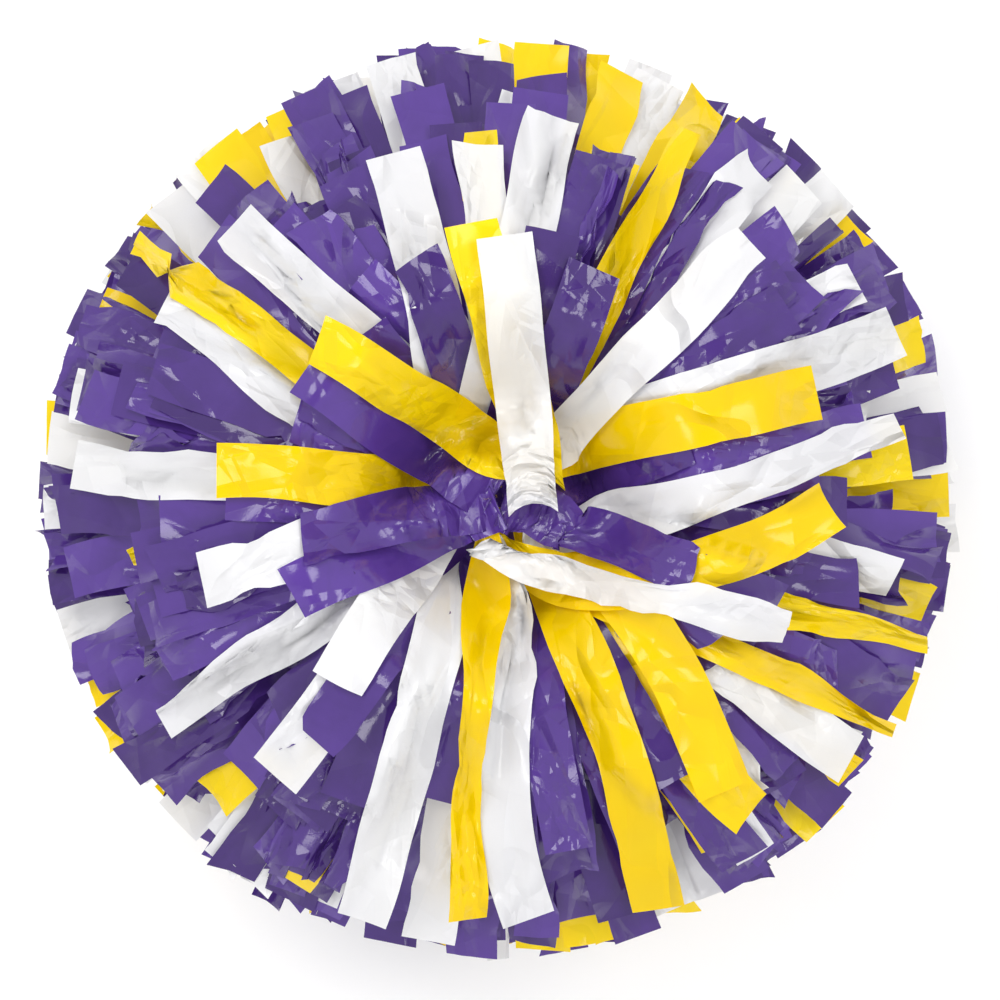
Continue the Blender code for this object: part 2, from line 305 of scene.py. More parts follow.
def grow(batch, sign, edge_z):
    """Vertices of all streamers: (count, along + 1, across + 1, 3).

    sign is +1 where the streamers leave upwards and -1 where they leave
    downwards; slopes in the batch are mirrored with it.
    """
    get = batch.column
    n = len(batch.rows)
    t = np.linspace(0.0, 1.0, ALONG + 1)[None, :] * np.ones((n, 1))
    s = t * (STREAMER_LENGTH * get("long"))[:, None]
    start, heading, span = runs(batch)
    aside = np.stack([-heading[:, 1], heading[:, 0]], axis=-1)
    run, z, e = bends(batch, sign, edge_z, t, s, span)

    off = get("bow")[:, None] * np.sin(math.pi * t)
    off = off + get("sway")[:, None] * np.sin(2.0 * math.pi * t)
    off = (off + SIDE_WANDER * soft_noise((n, ALONG + 1), 12) * t) * MM
    plan = start[:, None, :] + run[..., None] * heading[:, None, :]
    plan = plan + off[..., None] * aside[:, None, :]
    rest_z = edge_z + sign * (z + get("lift")[:, None] * MM)
    centre = np.concatenate([plan, rest_z[..., None]], axis=-1)
    r = np.hypot(plan[..., 0], plan[..., 1])

    # 0 in the gathered root and 1 where the film is free to roll and crumple
    pinch = get("pinch")[:, None]
    free = smooth((s - 0.3 * pinch) / (1.2 * pinch))
    tangent, side, up = directions(batch, sign, t, centre, aside, free)
    across, out, patches = cross_sections(batch, t, s, e, r, free)
    verts = centre[:, :, None, :] + across[..., None] * side[:, :, None, :]
    verts = verts + out[..., None] * up[:, :, None, :]
    # sharp cross creases: short steps of the sheet along its own face
    step = soft_noise((n, ALONG + 1), 1) * STEP_HEIGHT * MM * get("rough")[:, None]
    step = step * free * patches
    verts = verts + step[:, :, None, None] * up[:, :, None, :]
    # the cut end is never quite square
    slant = rng.normal(size=n) * SLANT * MM
    u = np.linspace(-1.0, 1.0, ACROSS + 1)
    tip = (t > 1.0 - 1e-6)[..., None, None] * u[None, None, :, None]
    verts = verts + tip * slant[:, None, None, None] * tangent[:, :, None, :]
    return verts


CELL = 0.0015              # of the height field
CELLS = 256
FINE_ALONG, FINE_ACROSS = 4, 3
RIM = 0.150                # where the streamers have room side by side
LAYER = 0.0006             # distance between two that lie on each other there
NECK_SHARE = 0.06          # share of that distance left at the neck
TOP_NECK_SHARE = 0.30      # the same for the ones on top
WHOLE_FROM, WHOLE_OVER = 0.025, 0.05   # radii where a whole width is raised
MOST_AT_ONCE = 0.03
MOST_RAISE = 0.25
WHOLE_RAISES = 3
RAISE_SHARE = 0.9


def finer(count, times):
    """Matrix that puts values at count + 1 points onto a finer row."""
    x = np.linspace(0.0, count, count * times + 1)
    i = np.minimum(x.astype(int), count - 1)
    w = np.zeros((len(x), count + 1))
    w[np.arange(len(x)), i] = 1.0 - (x - i)
    w[np.arange(len(x)), i + 1] += x - i
    return w


FINE_A = finer(ALONG, FINE_ALONG)
FINE_U = finer(ACROSS, FINE_ACROSS)


def blur(a, passes):
    """Smooth along axis 0, with the ends held."""
    for _ in range(passes):
        b = np.concatenate([a[:1], a, a[-1:]])
        a = (b[:-2] + 2.0 * b[1:-1] + b[2:]) / 4.0
    return a


def drape(verts, keys, clear, in_core, loose, ground):
    """Lay the streamers one on another, lowest key first.

    A height field holds the top of the pile so far. Away from the neck a
    streamer that would pass through it is raised with its whole width, then
    each point is. At the neck, where all of them meet, they nest together.
    """
    top = np.full((CELLS, CELLS), ground)
    along = np.linspace(0.0, 1.0, ALONG + 1)
    outer_free = smooth((along - 0.03) / 0.10)
    core_free = smooth(along / 0.02)
    near = [(0, 0), (1, 0), (-1, 0), (0, 1), (0, -1)]
    wide = near + [(1, 1), (1, -1), (-1, 1), (-1, -1), (2, 0), (-2, 0), (0, 2), (0, -2)]

    def where(points):
        ij = ((points[..., :2] + 0.5 * CELL * CELLS) / CELL).astype(int)
        return np.clip(ij, 2, CELLS - 3)

    for k in np.argsort(keys, kind="stable"):
        v = verts[k]
        free = core_free if in_core[k] else outer_free
        free = np.maximum(free, loose[k])
        shifts = wide if clear[k] > 0.0 else near
        ij = where(v)
        under = np.full(ij.shape[:-1], ground)
        for dx, dy in shifts:
            under = np.maximum(under, top[ij[..., 0] + dx, ij[..., 1] + dy])
        radius = np.hypot(v[..., 0], v[..., 1])
        share = TOP_NECK_SHARE if clear[k] > 0.0 else NECK_SHARE
        crowded = np.clip(radius / RIM, share, 1.0)
        under = under + (LAYER + clear[k]) * crowded
        whole = smooth((radius[:, ACROSS // 2] - WHOLE_FROM) / WHOLE_OVER)
        for _ in range(WHOLE_RAISES):
            worst = np.clip(under - v[..., 2], 0.0, MOST_AT_ONCE).max(axis=1) * whole
            worst = np.maximum(worst, np.maximum(np.roll(worst, 1), np.roll(worst, -1)))
            v[..., 2] += RAISE_SHARE * (blur(worst, 6) * free)[:, None]
        need = np.clip(under - v[..., 2], 0.0, MOST_RAISE)
        v[..., 2] += np.maximum(need, blur(need, 2)) * free[:, None]
        fine = np.einsum("ai,ijc,uj->auc", FINE_A, v, FINE_U)
        ij = where(fine)
        np.maximum.at(top, (ij[..., 0].ravel(), ij[..., 1].ravel()), fine[..., 2].ravel())
    return verts


def soft_floor(z, floor, give):
    """Heights near or below a level are pressed up to it."""
    x = (z - floor) / give
    pressed = np.log1p(np.exp(np.clip(x, -40.0, 8.0)))
    return floor + give * np.where(x > 8.0, x, pressed)


# ------------------------------------------------------------- what to grow

upper = Batch()

# the streamers placed one by one, the top one first, one line each: colour,
# azimuth and distance of the tip, then how it gets there; cover is how far out
# a purple one hides it
HEROES = (
    # the centre
    (WHITE, 89, 91, dict(swing=-95, root=11, fall=2, rise=76, rough=0.3, bend=8, loose=1)),
    (WHITE, 336, 108, dict(swing=-83, root=13, turn=50, rise=62, fall=-8, bow=-3.5, gather=80)),
    (YELLOW, 95, 96, dict(swing=-68, root=16, roll=10, gather=30, rise=68)),
    (YELLOW, 138, 84, dict(swing=-80, bow=-3, fall=-14, rise=66, rough=0.5, roll=-24)),
    (PURPLE, 146, 81, dict(swing=-20, root=2, fall=-12, rise=76, wide=1.1, rough=0.5)),
    (PURPLE, 190, 70, dict(swing=-10, root=1, fall=-12, rise=76, roll=10, rough=1.2)),
    (PURPLE, 204, 79, dict(swing=20, root=1, fall=-14, rise=76, roll=8)),
    (PURPLE, 340, 72, dict(swing=-60, root=1, rise=76, fall=-12, rough=2.0, roll=-10)),
    (YELLOW, 174, 98, dict(swing=-6, fall=-2, rough=0.6)),
    (WHITE, 195, 106, dict(swing=-16, root=15, roll=10, fall=-14, rough=1.2)),
    (WHITE, 229, 85, dict(swing=-49, root=14, gather=62, fall=-12, rise=68, rough=0.6)),
    (YELLOW, 265, 144, dict(swing=-20, gather=64, roll_mid=-34, roll=-40, crease=10)),
    (WHITE, 273, 144, dict(swing=-20, sway=5, bow=2, twist=58, twist_to=0.8, roll=14)),
    (YELLOW, 358, 114, dict(swing=-85, bow=-20, twist=-30, fall=-14, rise=66, roll=-22)),
    (WHITE, 11, 139, dict(swing=-50, root=11, bow=-8, twist=74, twist_to=0.6, roll=-66)),
    (WHITE, 46, 123, dict(swing=-4, root=14, gather=68, crease=30, crease_at=-0.1)),
    (YELLOW, 19, 115, dict(swing=50, root=15, twist=80, twist_to=0.5, rise=68)),
    (WHITE, 23, 147, dict(swing=50, root=15, twist=50, roll=14, fall=-6, cover=66)),
    (PURPLE, 10, 128, dict(swing=-20, root=1, rise=60, fall=-10, rough=2.4, roll=8)),
    (WHITE, 212, 138, dict(roll=-40, gather=50, crease=28, clear=1.5, cover=52)),
    (WHITE, 252, 151, dict(swing=-30, root=14, twist=56, twist_to=0.6, roll=6)),
    (YELLOW, 291, 150, dict(swing=2, gather=72, pinch=0.07, roll=16, crease=-14, bow=7)),
    (YELLOW, 308, 126, dict(swing=-10, gather=60, bow=14, rough=0.6)),
    (WHITE, 261, 153, dict(gather=50, roll=4, lift=-4, cover=104)),
    (YELLOW, 342, 156, dict(swing=-64, root=15, roll=74, twist=20, cover=100)),
    (YELLOW, 330, 158, dict(swing=-54, root=15, roll=72, twist=20, cover=86)),
    (WHITE, 324, 149, dict(twist=60, roll=10, crease=24, cover=90)),
    (YELLOW, 322, 152, dict(roll=-60, lift=-3, cover=98)),
    (YELLOW, 62, 142, dict(swing=10, roll=-68, twist=-10, cover=84)),
    (WHITE, 82, 133, dict(swing=50, root=15, kink=24, kink_at=0.7, cover=92)),
    (WHITE, 106, 124, dict(swing=35, root=15, rough=0.6, cover=86)),
    (WHITE, 135, 131, dict(swing=-45, root=15, twist=40, roll=16, crease=24, cover=72)),
    (YELLOW, 145, 153, dict(roll_mid=34, roll=24, kink_at=0.86, kink_roll=90, cover=74)),
    (WHITE, 151, 133, dict(swing=40, root=15, twist=60, roll=46, crease=16, cover=74)),
    (WHITE, 175, 146, dict(swing=4, roll=18, rough=1.8, crease=-26, cover=92)),
    (WHITE, 110, 69, dict(swing=-44, root=16, roll=20, rise=62, fall=-4, stack=9.5)),
    # the rim
    (WHITE, 14, 130, dict(roll=50, fall=-20, lift=-8)),
    (WHITE, 359, 142, dict(roll=-10, fall=-20, kink=30, kink_at=0.86)),
    (YELLOW, 7, 141, dict(roll=10, fall=-12)),
    (WHITE, 349, 138, dict(swing=4, roll=40, fall=-10)),
    (YELLOW, 347, 152, dict(swing=4, roll=50, fall=-12)),
    (WHITE, 94, 157, dict(roll=10, fall=-10)),
    (YELLOW, 85, 162, dict(fall=-4)),
    (YELLOW, 74, 153, dict(swing=5, roll=30, kink=24, kink_at=0.8)),
    (WHITE, 69, 155, dict(swing=6, roll=20, fall=-6)),
    (YELLOW, 63, 155, dict(roll=10, kink=34, kink_at=0.84, kink_roll=30)),
    (WHITE, 46, 150, dict(roll=16, rough=1.5)),
    (WHITE, 43, 160, dict(roll=24, fall=-4)),
    (YELLOW, 38, 156, dict(fall=-8, kink=20, kink_at=0.85)),
    (YELLOW, 21, 156, dict(swing=10, roll=16, kink=28, kink_at=0.8)),
    (YELLOW, 101, 149, dict(swing=4, roll=20, kink=40, kink_at=0.82, kink_roll=60)),
    (YELLOW, 118, 153, dict(swing=4, roll=24, fall=-6)),
    (WHITE, 112, 155, dict(roll=12, fall=-8)),
    (WHITE, 122, 145, dict(swing=-6, roll=50, fall=-6)),
    (YELLOW, 129, 157, dict(swing=4, roll=44, kink=22, kink_at=0.86, kink_roll=-30)),
    (WHITE, 131, 162, dict(roll=10, fall=-4)),
    (WHITE, 138, 155, dict(roll=24, fall=-6)),
    (YELLOW, 155, 153, dict(roll=14, fall=-12)),
    (WHITE, 172, 158, dict(roll=8, fall=-8)),
    (YELLOW, 179, 143, dict(roll=8, fall=-22, kink=30, kink_at=0.86)),
    (WHITE, 186, 152, dict(roll=20, fall=-10)),
    (WHITE, 197, 157, dict(roll=34, fall=-8)),
    (YELLOW, 204, 155, dict(roll=20, fall=-8)),
    (YELLOW, 217, 150, dict(swing=4, roll=10, fall=-10, wide=1.1)),
    (WHITE, 225, 160, dict(roll=10, fall=-6)),
    (YELLOW, 226, 141, dict(roll=16, kink=40, kink_at=0.84, rough=1.6)),
    (WHITE, 232, 151, dict(roll=14, fall=-8)),
    (WHITE, 234, 106, dict(swing=8, roll=72, crease=30, fall=-20, lift=-8)),
    (YELLOW, 275, 156, dict(roll=10, fall=-12)),
    (YELLOW, 281, 156, dict(roll=18, fall=-10)),
    (WHITE, 293, 153, dict(roll=10, fall=-10, lift=-6)),
    (WHITE, 297, 156, dict(roll=24, fall=-14, lift=-6)),
    (YELLOW, 302, 141, dict(swing=4, roll=52, fall=-8)),
    (YELLOW, 315, 162, dict(roll=20, fall=-4)),
    (YELLOW, 334, 163, dict(roll=20, fall=-4)),
    (YELLOW, 1, 156, dict(roll=24, fall=-14)),
    (WHITE, 14, 156, dict(roll=20, fall=-10)),
)

TOP_HEROES = 36            # the rest only show their tips, at the rim

for k, (colour, az, reach, more) in enumerate(HEROES):
    more = dict(more)
    more.setdefault("root", 10.0)
    cover = more.pop("cover", None)
    if k < TOP_HEROES:
        more.setdefault("stack", 10.0 - 0.01 * k)
        more.setdefault("clear", 0.9)
        more.setdefault("gather", 0.0 if k == 0 or more["root"] < CORE else 66.0)
    # nearer to the camera than the rim, so they look further out than they are
    reach *= float(np.interp(reach, [80.0, 150.0], [0.968, 1.0]))
    upper.add(colour, "crown" if reach < 135 else "belt", az, reach, **more)
    if cover is None:
        continue
    # a purple one hides the inner part of this one
    slip = float(rng.uniform(3.0, 7.0) * rng.choice([-1.0, 1.0]))
    upper.add(
        PURPLE,
        "crown",
        az + slip,
        cover,
        swing=slip * -2.0,
        root=8.0,
        rise=72.0,
        fall=float(rng.uniform(-14.0, -6.0)),
        roll=float(rng.normal() * 18.0),
        crease=float(rng.normal() * 14.0),
        gather=40.0,
        rough=float(rng.uniform(0.8, 1.8)),
        stack=more["stack"] + 0.005,
        clear=0.3,
    )


BESIDE, BEYOND = 15.0, 6.0     # kept clear beside and beyond a placed tip, mm
RIM_SHOWN = 20.0               # length of a rim streamer that is to be seen, mm


def would_hide(az, reach):
    """Whether a streamer here would lie over what has to be seen."""
    for k, (_, hero_az, hero_reach, _) in enumerate(HEROES):
        gap = abs((az - hero_az + 180.0) % 360.0 - 180.0)
        near = math.degrees(BESIDE / max(reach, 60.0))
        floor = 0.0 if k < TOP_HEROES else hero_reach - RIM_SHOWN
        if floor < reach < hero_reach + BEYOND and gap < near:
            return True
    return False


GOLDEN = 137.50776             # the golden angle, degrees


def random_look():
    """Roll, crease and kink of a streamer that nothing is asked of."""
    look = dict(
        swing=float(rng.normal() * 16.0),
        bow=float(rng.normal() * 1.6),
        roll=float(rng.normal() * 34.0),
        roll_mid=float(rng.normal() * 18.0),
        crease=float(rng.normal() * 16.0),
        crease_at=float(rng.uniform(-0.5, 0.5)),
        bend=float(rng.uniform(9.0, 22.0)),
        rough=float(rng.uniform(0.8, 2.3)),
        root=float(rng.uniform(9.0, 15.0)),
        gather=float(rng.uniform(20.0, 70.0) * rng.choice([-1.0, 1.0])),
        sag=float(rng.uniform(0.0, 14.0)),
        long=float(rng.uniform(0.96, 1.03)),
    )
    if rng.random() < 0.3:
        look["kink"] = float(rng.uniform(14.0, 60.0))
        look["kink_at"] = float(rng.uniform(0.55, 0.9))
        look["kink_roll"] = float(rng.normal() * 40.0)
    return look


# purple ones that leave only the tips of the rim streamers showing
for _, hero_az, hero_reach, _ in HEROES[TOP_HEROES:]:
    look = random_look()
    look.update(roll=look["roll"] * 0.5, fall=float(rng.uniform(-10.0, 2.0)), rise=66.0)
    reach = hero_reach - rng.uniform(22.0, 34.0)
    upper.add(PURPLE, "crown", hero_az + rng.normal() * 2.5, float(reach), **look)

FAN_COUNT = 380
TRIES = 12


def fan_reach(pick):
    """Distance of a tip from the axis, mm; pick is the place in the fan, 0 to 1."""
    if pick < 0.10:
        return rng.uniform(84.0, 112.0)
    if pick < 0.42:
        return rng.uniform(112.0, 144.0)
    return rng.normal(149.0, 4.5)


for i in range(FAN_COUNT):
    az = (i * GOLDEN + rng.normal() * 3.0) % 360.0
    pick = (i + 0.5) / FAN_COUNT
    for _ in range(TRIES):
        reach = fan_reach(pick)
        if not would_hide(az, reach):
            break
        az = rng.uniform(0.0, 360.0)
        pick = min(pick + 0.04, 0.99)
    look = random_look()
    look["fall"] = float(rng.uniform(-16.0, 8.0) - 0.08 * max(reach - 120.0, 0.0))
    look["rise"] = float(rng.uniform(62.0, 74.0))
    look["root"] = float(np.interp(reach, [84.0, 160.0], [9.0, 15.0]))
    # the ones at the rim are kinked less, which keeps the outline
    look["kink"] = look.get("kink", 0.0) * float(np.interp(reach, [120, 150], [1, 0.4]))
    tier = "crown" if reach < 135.0 else "belt"
    x = rng.random()
    colour = PURPLE
    if reach > 118.0:
        colour = WHITE if x < 0.07 else YELLOW if x < 0.105 else PURPLE
    upper.add(colour, tier, az, float(min(reach, 157.0)), **look)

# a few cross over the middle and hide the end plug
CROSSING_COUNT = 9
for i in range(CROSSING_COUNT):
    look = random_look()
    look.update(root=-9.0, swing=0.0, rise=32.0, fall=-10.0, roll_mid=0.0, lift=0.5)
    look.update(kink=0.0, roll=look["roll"] * 0.4, gather=0.0, stack=0.0, rough=0.6)
    upper.add(PURPLE, "crown", i * 40.0 + rng.uniform(-8, 8), 128.0, **look)


PURPLE_SHARE, WHITE_SHARE = 0.60, 0.22
UPPER_SKIRT_COUNT, LOWER_SKIRT_COUNT = 210, 150
LOWER_BELT_COUNT, LOWER_SOLE_COUNT = 190, 150


def mixed_colour():
    """A colour drawn by its share of the streamers."""
    x = rng.random()
    if x < PURPLE_SHARE:
        return PURPLE
    return WHITE if x < PURPLE_SHARE + WHITE_SHARE else YELLOW


def add_skirt(batch, count, mirrored):
    """Streamers that leave a neck towards the hand and close the gap there."""
    for i in range(count):
        look = random_look()
        share = (i % 20 + 0.5) / 20.0
        look.update(
            rise=float(rng.uniform(4.0, 12.0)),
            fall=float(1.0 + 21.0 * share**0.55),
            sag=0.0 if mirrored else -float(rng.uniform(0.0, 3.0)),
            root=float(rng.uniform(12.0, 14.5)),
            kink=float(rng.uniform(-12.0, 12.0)),
            roll=float(rng.normal() * 42.0),
            long=float(rng.uniform(0.93, 0.98)),
            pinch=0.030,
        )
        az = (i * GOLDEN + 40.0) % 360.0
        batch.add(mixed_colour(), "skirt", az, 170.0, **look)


upper_skirt = Batch()
add_skirt(upper_skirt, UPPER_SKIRT_COUNT, False)
lower_skirt = Batch()
add_skirt(lower_skirt, LOWER_SKIRT_COUNT, True)

lower_fan = Batch()
for i in range(LOWER_BELT_COUNT):
    look = random_look()
    look.update(rise=70.0, fall=float(rng.uniform(-24.0, 24.0)), sag=-6.0)
    look["kink"] = look.get("kink", 0.0) * -0.4
    az = (i * GOLDEN + 11.0) % 360.0
    reach = float(min(rng.normal(150.0, 5.0), 157.0))
    lower_fan.add(mixed_colour(), "belt", az, reach, **look)
for i in range(LOWER_SOLE_COUNT):
    look = random_look()
    look.update(rise=72.0, fall=float(rng.uniform(-2.0, 3.0)), sag=0.0)
    look["kink"] = 0.0
    look["roll"] *= 0.35
    look["roll_mid"] *= 0.35
    az = (i * GOLDEN + 77.0) % 360.0
    height = float(rng.uniform(3.0, 24.0))
    lower_fan.add(mixed_colour(), "sole", az, 140.0, drop_to=height, **look)


# --------------------------------------------------------------- materials


class Shader:
    """Small helper that builds and links nodes."""

    def __init__(self, name):
        self.mat = bpy.data.materials.new(name)
        self.mat.use_nodes = True
        self.tree = self.mat.node_tree
        self.bsdf = self.tree.nodes["Principled BSDF"]
        self.out = self.tree.nodes["Material Output"]

    def node(self, kind, **values):
        node = self.tree.nodes.new(kind)
        for key, value in values.items():
            setattr(node, key, value)
        return node

    def link(self, a, b):
        self.tree.links.new(a, b)

    def put(self, socket, value):
        """Link an output to the socket, or set it to a number."""
        if hasattr(value, "is_output"):
            self.link(value, socket)
        else:
            socket.default_value = value

    def math(self, operation, a, b=0.0):
        node = self.node("ShaderNodeMath", operation=operation)
        self.put(node.inputs[0], a)
        self.put(node.inputs[1], b)
        return node.outputs[0]

    def noise(self, coords, scale, detail, roughness):
        node = self.node("ShaderNodeTexNoise")
        self.link(coords, node.inputs["Vector"])
        node.inputs["Scale"].default_value = scale
        node.inputs["Detail"].default_value = detail
        node.inputs["Roughness"].default_value = roughness
        return node.outputs["Fac"]

    def ramp(self, value, low, high, a, b):
        node = self.node("ShaderNodeMapRange", interpolation_type="LINEAR")
        self.link(value, node.inputs["Value"])
        node.inputs["From Min"].default_value = low
        node.inputs["From Max"].default_value = high
        node.inputs["To Min"].default_value = a
        node.inputs["To Max"].default_value = b
        return node.outputs["Result"]

    def mix(self, factor, a, b):
        # a colour mix has its two colours at inputs 6 and 7
        node = self.node("ShaderNodeMix", data_type="RGBA")
        self.link(factor, node.inputs["Factor"])
        node.inputs[6].default_value = (*a, 1.0)
        node.inputs[7].default_value = (*b, 1.0)
        return node.outputs[2]

    def bump(self, height, distance, strength, normal=None):
        node = self.node("ShaderNodeBump")
        self.link(height, node.inputs["Height"])
        node.inputs["Distance"].default_value = distance
        node.inputs["Strength"].default_value = strength
        if normal is not None:
            self.link(normal, node.inputs["Normal"])
        return node.outputs["Normal"]


# the creases of the film, from the widest to the finest: how many to a metre,
# their slope, how they are turned, and how much of the film is left smooth
CREASES = (
    (36.0, 0.19, 0.5, 0.40),
    (80.0, 0.27, 1.1, 0.54),
    (160.0, 0.31, 2.0, 0.62),
)


def creased(sh, coords, tone):
    """Normal of crumpled film.

    Crumpled film is flat facets between straight creases: the chessboard
    distance to scattered points is made of such facets.
    """
    worn = sh.math("FRACT", sh.math("MULTIPLY", tone, 7.31))
    worn = sh.math("MULTIPLY", worn, 0.16)
    height = None
    for scale, slope, spin, low in CREASES:
        turned = sh.node("ShaderNodeMapping")
        sh.link(coords, turned.inputs["Vector"])
        turned.inputs["Rotation"].default_value = (0.0, 0.0, spin)
        turned.inputs["Location"].default_value = (spin, 0.3 * spin, 0.0)
        turned.inputs["Scale"].default_value = (1.0, 0.7, 1.0)
        cells = sh.node(
            "ShaderNodeTexVoronoi",
            feature="F1",
            distance="CHEBYCHEV",
            voronoi_dimensions="2D",
        )
        sh.link(turned.outputs["Vector"], cells.inputs["Vector"])
        cells.inputs["Scale"].default_value = scale
        part = sh.math("MULTIPLY", cells.outputs["Distance"], slope / scale)
        where = sh.noise(turned.outputs["Vector"], 26.0, 1.0, 0.5)
        where = sh.math("ADD", where, worn)
        part = sh.math("MULTIPLY", part, sh.ramp(where, low + 0.04, low + 0.12, 0.0, 1.0))
        height = part if height is None else sh.math("ADD", height, part)
    normal = sh.bump(height, 1.0, 1.0)
    grain = sh.noise(coords, 1400.0, 1.0, 0.5)
    return sh.bump(grain, 0.00008, 0.4, normal)


def film(name, dark, mid, glow, painted_glow, gloss, roughness, seed):
    """Wet-look plastic film: creased, glossy, and lit a little through.

    glow is the share of light that passes through; the emission strength is a
    painted glow, faint light of the film's own colour that brightens its shadows.
    """
    sh = Shader(name)
    uv = sh.node("ShaderNodeUVMap", uv_map="strip").outputs["UV"]
    shift = sh.node("ShaderNodeMapping")
    sh.link(uv, shift.inputs["Vector"])
    shift.inputs["Location"].default_value = (seed, seed * 0.37, 0.0)
    coords = shift.outputs["Vector"]

    tone = sh.node("ShaderNodeAttribute", attribute_name="tone").outputs["Fac"]
    cloud = sh.noise(coords, 55.0, 3.0, 0.6)
    shade = sh.math("ADD", sh.math("MULTIPLY", tone, 0.65), sh.math("MULTIPLY", cloud, 0.5))
    colour = sh.mix(sh.ramp(shade, 0.2, 0.95, 0.0, 1.0), dark, mid)
    sh.link(colour, sh.bsdf.inputs["Base Color"])
    sh.link(creased(sh, coords, tone), sh.bsdf.inputs["Normal"])
    sh.link(
        sh.ramp(cloud, 0.3, 0.7, roughness - 0.03, roughness + 0.05),
        sh.bsdf.inputs["Roughness"],
    )
    sh.bsdf.inputs["IOR"].default_value = 1.5
    sh.bsdf.inputs["Specular IOR Level"].default_value = gloss
    # painted glow: the film gives out faint light of its own colour, a painted fill that stands
    # in for light through several films and lifts the shadows
    sh.link(colour, sh.bsdf.inputs["Emission Color"])
    sh.bsdf.inputs["Emission Strength"].default_value = painted_glow
    through = sh.node("ShaderNodeBsdfTranslucent")
    sh.link(colour, through.inputs["Color"])
    blend = sh.node("ShaderNodeMixShader")
    blend.inputs["Fac"].default_value = glow
    sh.link(sh.bsdf.outputs["BSDF"], blend.inputs[1])
    sh.link(through.outputs["BSDF"], blend.inputs[2])
    sh.link(blend.outputs["Shader"], sh.out.inputs["Surface"])
    return sh.mat


# the emission strength of each film is a painted glow that brightens its shadows
FILM = (
    film(
        "purple_film",
        dark=(0.034, 0.012, 0.106),
        mid=(0.083, 0.036, 0.245),
        glow=0.14,
        painted_glow=0.17,
        gloss=0.52,
        roughness=0.11,
        seed=3.0,
    ),
    film(
        "white_film",
        dark=(0.70, 0.70, 0.71),
        mid=(0.76, 0.76, 0.76),
        glow=0.26,
        painted_glow=0.14,
        gloss=0.35,
        roughness=0.16,
        seed=11.0,
    ),
    film(
        "yellow_film",
        dark=(0.78, 0.52, 0.0),
        mid=(0.84, 0.62, 0.004),
        glow=0.24,
        painted_glow=0.16,
        gloss=0.30,
        roughness=0.15,
        seed=23.0,
    ),
)


def moulded(name, colour, roughness, grain, metallic=0.0):
    """Moulded plastic, nylon, rubber or steel; grain is the scale of its pits."""
    sh = Shader(name)
    coords = sh.node("ShaderNodeTexCoord").outputs["Object"]
    cloud = sh.noise(coords, 90.0, 4.0, 0.6)
    dark = tuple(c * 0.72 for c in colour)
    sh.link(
        sh.mix(sh.ramp(cloud, 0.3, 0.7, 0.0, 1.0), dark, colour),
        sh.bsdf.inputs["Base Color"],
    )
    scuff = sh.noise(coords, 420.0, 3.0, 0.65)
    sh.link(
        sh.ramp(scuff, 0.3, 0.7, roughness - 0.08, roughness + 0.1),
        sh.bsdf.inputs["Roughness"],
    )
    pits = sh.noise(coords, grain, 2.0, 0.6)
    sh.link(sh.bump(pits, 0.00025, 0.6), sh.bsdf.inputs["Normal"])
    sh.bsdf.inputs["Metallic"].default_value = metallic
    return sh.mat


# ------------------------------------------------------------------ meshes


def ribbon_faces(count):
    """Corners of the quads of many streamers, four to a row."""
    per = (ALONG + 1) * (ACROSS + 1)
    a, u = np.meshgrid(np.arange(ALONG), np.arange(ACROSS), indexing="ij")
    corner = (a * (ACROSS + 1) + u).ravel()
    quad = np.stack(
        [corner, corner + 1, corner + ACROSS + 2, corner + ACROSS + 1], axis=1
    )
    return (quad[None] + (np.arange(count) * per)[:, None, None]).reshape(-1, 4)


def streamer_uvs(count):
    """Two sets: a cell of its own for each streamer, and its place in metres."""
    across = np.linspace(0.0, STREAMER_WIDTH, ACROSS + 1)
    along = np.linspace(0.0, STREAMER_LENGTH, ALONG + 1)
    grid = np.stack(np.meshgrid(across, along), axis=-1).reshape(-1, 2)
    shift = rng.uniform(0.0, 9.0, size=(count, 1, 2))
    strip_uv = (grid[None] + shift).reshape(-1, 2)

    columns = max(1, int(round(math.sqrt(count * 8.0))))
    rows = int(math.ceil(count / columns))
    k = np.arange(count)
    cell = np.stack([k % columns, k // columns], axis=-1)[:, None, :]
    unit = grid / np.array([STREAMER_WIDTH, STREAMER_LENGTH])
    pad = np.array([0.06, 0.01])
    inside = pad + unit * (1.0 - 2.0 * pad)
    bake_uv = ((cell + inside[None]) / np.array([columns, rows])).reshape(-1, 2)
    return bake_uv, strip_uv


def finish_sheet(mesh, faces, bake_uv, strip_uv, tone, colour):
    """Add the UV sets, the tone of each point and the film to a mesh."""
    for layer_name, values in (("OFBake", bake_uv), ("strip", strip_uv)):
        layer = mesh.uv_layers.new(name=layer_name)
        layer.data.foreach_set("uv", values[faces.ravel()].ravel())
    tones = mesh.attributes.new("tone", "FLOAT", "POINT")
    tones.data.foreach_set("value", tone)
    mesh.polygons.foreach_set("use_smooth", np.ones(len(faces), dtype=bool))
    mesh.materials.append(FILM[colour])
    obj = bpy.data.objects.new(mesh.name, mesh)
    bpy.context.scene.collection.objects.link(obj)
    return obj


def build_piece(name, verts, colour, body, nodes):
    """One mesh of many streamers, with its material, body and CAD nodes."""
    count = verts.shape[0]
    flat = verts.reshape(-1, 3)
    faces = ribbon_faces(count)
    mesh = bpy.data.meshes.new(name)
    mesh.vertices.add(len(flat))
    mesh.vertices.foreach_set("co", flat.ravel())
    mesh.loops.add(faces.size)
    mesh.loops.foreach_set("vertex_index", faces.ravel())
    mesh.polygons.add(len(faces))
    mesh.polygons.foreach_set("loop_start", np.arange(len(faces)) * 4)
    mesh.update(calc_edges=True)
    mesh.validate()
    bake_uv, strip_uv = streamer_uvs(count)
    tone = np.repeat(rng.random(count), len(flat) // count)
    obj = finish_sheet(mesh, faces, bake_uv, strip_uv, tone, colour)
    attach(obj, body)
    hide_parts(*nodes)
    return obj


ALL_NODES = sorted(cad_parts)


